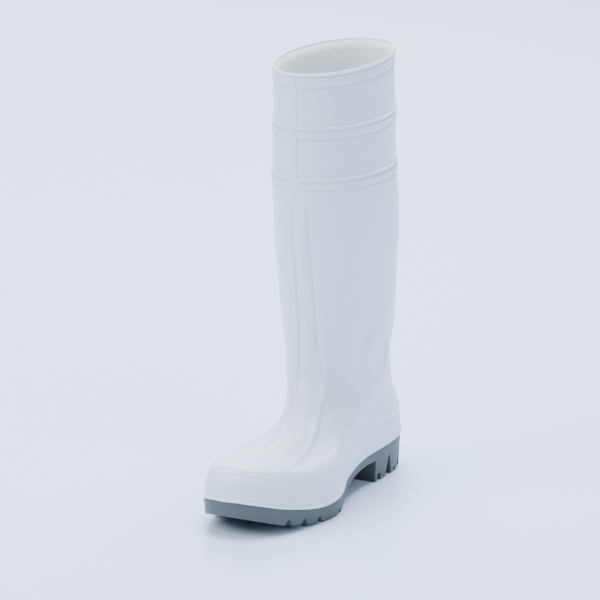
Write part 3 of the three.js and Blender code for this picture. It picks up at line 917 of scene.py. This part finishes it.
def white_pvc():
    """Satin white moulded plastic, faintly clouded and wavy, with painted shade in the fold troughs and darker
    along the parting line.
    """
    up = bpy.context.scene.boot_upper
    material, tree, shader = new_material("white_pvc")
    group = grained(tree, 1400, 34)
    base = tuple(up.colour) + (1.0,)
    cloud = mapped(tree, group.outputs["Cloud"], 0, 1, 0, 0.5)
    clouded = mixed_colour(tree, cloud, base, tinted(base, 0.965))
    # Painted shade: through the hollow mask, the fold troughs are mixed towards a darker bluish grey.
    hollow = add(tree, "ShaderNodeAttribute", attribute_name="hollow").outputs["Fac"]
    painted_fold_shade = mapped(tree, hollow, 0.1, 0.9, 0, 0.35)
    darkened = mixed_colour(tree, painted_fold_shade, clouded, (base[0] * 0.8, base[1] * 0.81, base[2] * 0.84, 1.0))
    line = parting_line(tree, object_vector(tree))
    lined = mixed_colour(tree, maths(tree, "MULTIPLY", line, 0.3), darkened, tinted(base, 0.7))
    tree.links.new(lined, shader.inputs["Base Color"])
    matt = mapped(tree, group.outputs["Scuff"], 0, 1, up.roughness, up.roughness + 0.14)
    tree.links.new(matt, shader.inputs["Roughness"])
    shader.inputs["Coat Weight"].default_value = 0.18
    shader.inputs["Coat Roughness"].default_value = 0.22
    shader.inputs["IOR"].default_value = 1.5
    shader.inputs["Specular IOR Level"].default_value = 0.45
    grain = bump(tree, shader, group.outputs["Height"], 0.3, 0.0006)
    bump(tree, grain, line, 1.0, 0.0005, invert=True)
    return material


def grey_rubber():
    """Matt grey sole rubber with a fine grain and paler scuffs."""
    sole = bpy.context.scene.boot_sole
    material, tree, shader = new_material("grey_rubber")
    group = grained(tree, 1100, 60)
    base = tuple(sole.colour) + (1.0,)
    cloud = mapped(tree, group.outputs["Cloud"], 0, 1, 0, 0.6)
    clouded = mixed_colour(tree, cloud, base, tinted(base, 0.86))
    scuff = mapped(tree, group.outputs["Scuff"], 0, 1, 0, 0.4)
    tree.links.new(mixed_colour(tree, scuff, clouded, tinted(base, 1.3)), shader.inputs["Base Color"])
    tree.links.new(mapped(tree, group.outputs["Scuff"], 0, 1, 0.5, 0.66), shader.inputs["Roughness"])
    shader.inputs["Specular IOR Level"].default_value = 0.4
    bump(tree, shader, group.outputs["Height"], 0.45, 0.0005)
    return material


def knit_lining():
    """A pale grey knit that follows the shaft round and up, with a few soiled patches."""
    lining = bpy.context.scene.boot_lining
    material, tree, shader = new_material("knit_lining")
    coordinates = add(tree, "ShaderNodeTexCoord").outputs["UV"]
    scale = add(tree, "ShaderNodeMapping")
    tree.links.new(coordinates, scale.inputs["Vector"])
    pitch = 1 / lining.stitch
    scale.inputs["Scale"].default_value = (pitch, pitch * 0.8, 1)
    split = add(tree, "ShaderNodeSeparateXYZ")
    tree.links.new(scale.outputs["Vector"], split.inputs["Vector"])
    wale = maths(tree, "SINE", maths(tree, "MULTIPLY", split.outputs["X"], math.tau))
    ridge = maths(tree, "ABSOLUTE", wale)
    zigzag = maths(tree, "MULTIPLY", ridge, 1.6)
    climb = maths(tree, "MULTIPLY", split.outputs["Y"], math.tau)
    course = maths(tree, "SINE", maths(tree, "ADD", climb, zigzag))
    loops = maths(tree, "MULTIPLY", ridge, mapped(tree, course, -1, 1, 0.45, 1))
    fuzz = noise(tree, object_vector(tree), 1800, 2)
    height = maths(tree, "ADD", loops, maths(tree, "MULTIPLY", fuzz, 0.5))
    base = tuple(lining.colour) + (1.0,)
    yarn = mixed_colour(tree, loops, tinted(base, 0.9), base)
    darkened = (base[0] * 0.86, base[1] * 0.8, base[2] * 0.78, 1.0)
    patches = mapped(tree, noise(tree, object_vector(tree), 26, 4), 0.5, 0.72, 0, 0.6)
    tree.links.new(mixed_colour(tree, patches, yarn, darkened), shader.inputs["Base Color"])
    shader.inputs["Roughness"].default_value = 0.9
    shader.inputs["Sheen Weight"].default_value = 0.2
    bump(tree, shader, height, 0.5, 0.0004)
    return material


def felt_board():
    """Pressed felt with loose fibres."""
    lining = bpy.context.scene.boot_lining
    material, tree, shader = new_material("felt_board")
    vector = object_vector(tree)
    stretch = add(tree, "ShaderNodeMapping")
    tree.links.new(vector, stretch.inputs["Vector"])
    stretch.inputs["Scale"].default_value = (1, 0.35, 1)
    fibres = noise(tree, stretch.outputs["Vector"], 1500, 5, 0.7)
    blotch = noise(tree, vector, 60, 3)
    base = tinted(tuple(lining.colour) + (1.0,), 0.8)
    share = mapped(tree, maths(tree, "ADD", fibres, blotch), 0.7, 1.3, 0, 1)
    tree.links.new(mixed_colour(tree, share, tinted(base, 0.7), base), shader.inputs["Base Color"])
    shader.inputs["Roughness"].default_value = 0.95
    shader.inputs["Sheen Weight"].default_value = 0.3
    bump(tree, shader, fibres, 0.6, 0.0005)
    return material


def floor_paint():
    """A plain pale studio floor that is slightly satin."""
    stage = bpy.context.scene.boot_stage
    material, tree, shader = new_material("floor_paint")
    base = tuple(stage.floor_colour) + (1.0,)
    cloud = noise(tree, object_vector(tree), 3, 2)
    tree.links.new(mixed_colour(tree, cloud, base, tinted(base, 0.985)), shader.inputs["Base Color"])
    shader.inputs["Roughness"].default_value = 0.2
    shader.inputs["Specular IOR Level"].default_value = 0.7
    return material


# Settings

class BootUpperSettings(bpy.types.PropertyGroup):
    """Sizes and finish of the white upper"""
    colour: bpy.props.FloatVectorProperty(
        name="Colour", description="Colour of the moulded upper", subtype="COLOR",
        size=3, min=0, max=1, default=(0.735, 0.768, 0.832))
    roughness: bpy.props.FloatProperty(
        name="Roughness", description="How matt the upper is",
        default=0.36, min=0.05, max=1, subtype="FACTOR")
    fold_strength: bpy.props.FloatProperty(
        name="Folds", description="How deep the folds and flutes are", default=1.0, min=0, max=3)
    ring_radius: bpy.props.FloatProperty(
        name="Ankle ring", description="Radius of the outer plain ring over the ankle",
        default=0.025, min=0.01, max=0.035, unit="LENGTH")
    band_height: bpy.props.FloatProperty(
        name="Band height", description="Height of a raised band",
        default=0.010, min=0.004, max=0.02, unit="LENGTH")
    bead_height: bpy.props.FloatProperty(
        name="Bead height", description="Height of the bead along a band's top",
        default=0.0026, min=0.001, max=0.005, unit="LENGTH")


class BootSoleSettings(bpy.types.PropertyGroup):
    """Finish of the grey outsole"""
    colour: bpy.props.FloatVectorProperty(
        name="Colour", description="Colour of the outsole", subtype="COLOR",
        size=3, min=0, max=1, default=(0.077, 0.084, 0.082))


class BootLiningSettings(bpy.types.PropertyGroup):
    """Finish of the lining and the insole"""
    colour: bpy.props.FloatVectorProperty(
        name="Colour", description="Colour of the lining", subtype="COLOR",
        size=3, min=0, max=1, default=(0.87, 0.865, 0.87))
    stitch: bpy.props.FloatProperty(
        name="Stitch", description="Width of one column of stitches",
        default=0.0012, min=0.0006, max=0.01, unit="LENGTH")


class BootStageSettings(bpy.types.PropertyGroup):
    """Floor, light and camera"""
    floor_colour: bpy.props.FloatVectorProperty(
        name="Floor", description="Colour of the floor and backdrop", subtype="COLOR",
        size=3, min=0, max=1, default=(0.775, 0.808, 0.955))
    light: bpy.props.FloatProperty(
        name="Light", description="Strength of the studio light", default=1.0, min=0, max=10)
    distance: bpy.props.FloatProperty(
        name="Distance", description="Camera to the middle of the boot, over the floor",
        default=2.587, min=0.5, max=10, unit="LENGTH")
    height: bpy.props.FloatProperty(
        name="Height", description="Camera height", default=0.7644, min=0.1, max=5, unit="LENGTH")


# Operators

class BOOT_OT_upper(bpy.types.Operator):
    """Builds the hollow white upper with its bands and folds, and the rings over its ankle"""
    bl_idname = "boot.upper"
    bl_label = "Upper"

    def execute(self, context):
        radius = context.scene.boot_upper.ring_radius / MM
        finish = white_pvc()
        dress(build_upper(), finish, "upper")
        for name, (share, width) in ANKLE_RINGS.items():
            dress(build_ring(name, radius * share, width), finish, None)
        return {"FINISHED"}


class BOOT_OT_lining(bpy.types.Operator):
    """Builds the knitted lining inside the shaft"""
    bl_idname = "boot.lining"
    bl_label = "Lining"

    def execute(self, context):
        dress(build_lining(), knit_lining(), None)
        return {"FINISHED"}


class BOOT_OT_outsole(bpy.types.Operator):
    """Builds the grey lugged outsole"""
    bl_idname = "boot.outsole"
    bl_label = "Outsole"

    def execute(self, context):
        dress(build_outsole(), grey_rubber(), "outsole")
        return {"FINISHED"}


class BOOT_OT_insole(bpy.types.Operator):
    """Builds the felt insole"""
    bl_idname = "boot.insole"
    bl_label = "Insole"

    def execute(self, context):
        dress(build_insole(), felt_board(), "insole")
        return {"FINISHED"}


def add_light(name, location, target, size, power, colour):
    """A softbox that faces a point."""
    light = bpy.data.lights.new(name, "AREA")
    light.shape = "RECTANGLE"
    light.size, light.size_y = size
    light.energy = power
    light.color = colour
    lamp = bpy.data.objects.new(name, light)
    bpy.context.scene.collection.objects.link(lamp)
    lamp.location = location
    aim = np.array(target) - np.array(location)
    lamp.rotation_euler = (math.atan2(math.hypot(aim[0], aim[1]), -aim[2]), 0, math.atan2(-aim[0], aim[1]))


def build_floor(back, side):
    """The pale floor, which bends up far behind the boot to be its backdrop."""
    mesh = bpy.data.meshes.new("studio_floor")
    bm = bmesh.new()
    bmesh.ops.create_grid(bm, x_segments=24, y_segments=128, size=1)
    for vert in bm.verts:
        wide = vert.co.x * FLOOR_HALF_WIDTH
        run = (vert.co.y + 1) / 2 * FLOOR_LENGTH - FLOOR_FRONT
        over = max(run - FLOOR_BEND_START, 0)
        angle = min(over / FLOOR_BEND_RADIUS, math.pi / 2)
        deep = min(run, FLOOR_BEND_START) + FLOOR_BEND_RADIUS * math.sin(angle)
        straight_up = max(over - FLOOR_BEND_RADIUS * math.pi / 2, 0)
        rise = FLOOR_BEND_RADIUS * (1 - math.cos(angle)) + straight_up
        vert.co = side * wide + back * deep + np.array([0, 0, rise])
    for face in bm.faces:
        face.smooth = True
    bmesh.ops.recalc_face_normals(bm, faces=bm.faces[:])
    bm.to_mesh(mesh)
    bm.free()
    mesh.materials.append(floor_paint())
    floor = bpy.data.objects.new("studio_floor", mesh)
    bpy.context.scene.collection.objects.link(floor)
    return floor


def light_studio(back, strength):
    """Three softboxes round the boot, one for the backdrop, and a faint sky."""
    far = back * BACKDROP_LIGHT_RUN
    above = far + (0, 0, BACKDROP_LIGHT_HEIGHT)
    softboxes = {
        "key_softbox": ((-1.5, -1.7, 1.95), (0, 0, 0.15), (1.8, 1.8), 105, (0.8, 0.92, 1)),
        "fill_softbox": ((2.4, -0.9, 1.6), (0, 0, 0.2), (2.2, 2.2), 43, (0.76, 0.89, 1)),
        "top_softbox": ((-0.1, 0.42, 2.5), (0, 0, 0.1), (1.5, 1.5), 165, (0.69, 0.85, 1)),
        "backdrop_softbox": (tuple(above), tuple(far), (5.0, 1.6), 330, (0.78, 0.89, 1)),
    }
    for name, (location, target, size, power, colour) in softboxes.items():
        add_light(name, location, target, size, power * strength, colour)
    world = bpy.data.worlds.new("studio")
    world.use_nodes = True
    sky = world.node_tree.nodes["Background"]
    sky.inputs["Color"].default_value = WORLD_COLOUR
    sky.inputs["Strength"].default_value = WORLD_LIGHT * strength
    bpy.context.scene.world = world


def place_camera(distance, height):
    """The camera at the photograph's angle."""
    camera = bpy.data.cameras.new("photo_camera")
    camera.sensor_width = 36
    camera.lens = CAMERA_LENS
    camera.clip_end = 50
    rig = bpy.data.objects.new("photo_camera", camera)
    bpy.context.scene.collection.objects.link(rig)
    shift = SHIFT * MM
    x = distance * math.sin(CAMERA_HEADING) + shift[0]
    y = -distance * math.cos(CAMERA_HEADING) + shift[1]
    rig.location = (x, y, height)
    rig.rotation_euler = (math.pi / 2 - CAMERA_TILT, 0, CAMERA_TURN)
    bpy.context.scene.camera = rig


class BOOT_OT_stage(bpy.types.Operator):
    """Sets up the pale floor, the soft light and the camera"""
    bl_idname = "boot.stage"
    bl_label = "Stage"

    def execute(self, context):
        stage = context.scene.boot_stage
        back = np.array([-math.sin(CAMERA_TURN), math.cos(CAMERA_TURN), 0])
        side = np.array([math.cos(CAMERA_TURN), math.sin(CAMERA_TURN), 0])
        floor = build_floor(back, side)
        light_studio(back, stage.light)
        place_camera(stage.distance, stage.height)
        return {"FINISHED"}


class BOOT_PT_panel(bpy.types.Panel):
    """Lists the boot's pieces and their settings"""
    bl_idname = "BOOT_PT_panel"
    bl_label = "Safety wellington"
    bl_space_type = "VIEW_3D"
    bl_region_type = "UI"
    bl_category = "Boot"

    def draw(self, context):
        for name in GROUPS:
            group = getattr(context.scene, name)
            box = self.layout.box()
            for key in group.bl_rna.properties.keys():
                if key not in ("rna_type", "name"):
                    box.prop(group, key)
        for operator in OPERATORS:
            self.layout.operator(operator.bl_idname)


GROUPS = {
    "boot_upper": BootUpperSettings,
    "boot_sole": BootSoleSettings,
    "boot_lining": BootLiningSettings,
    "boot_stage": BootStageSettings,
}
OPERATORS = (BOOT_OT_upper, BOOT_OT_lining, BOOT_OT_outsole, BOOT_OT_insole, BOOT_OT_stage)


def register():
    """Makes the settings, the operators and the panel known."""
    for name, group in GROUPS.items():
        bpy.utils.register_class(group)
        setattr(bpy.types.Scene, name, bpy.props.PointerProperty(type=group))
    for item in OPERATORS + (BOOT_PT_panel,):
        bpy.utils.register_class(item)


def unregister():
    """Takes them away again."""
    for item in OPERATORS + (BOOT_PT_panel,):
        bpy.utils.unregister_class(item)
    for name, group in GROUPS.items():
        delattr(bpy.types.Scene, name)
        bpy.utils.unregister_class(group)


def main():
    """Builds the boot and its stage."""
    register()
    bpy.ops.boot.upper()
    bpy.ops.boot.lining()
    bpy.ops.boot.outsole()
    bpy.ops.boot.insole()
    bpy.ops.boot.stage()
    bpy.context.view_layer.update()


if __name__ == "__main__":
    main()
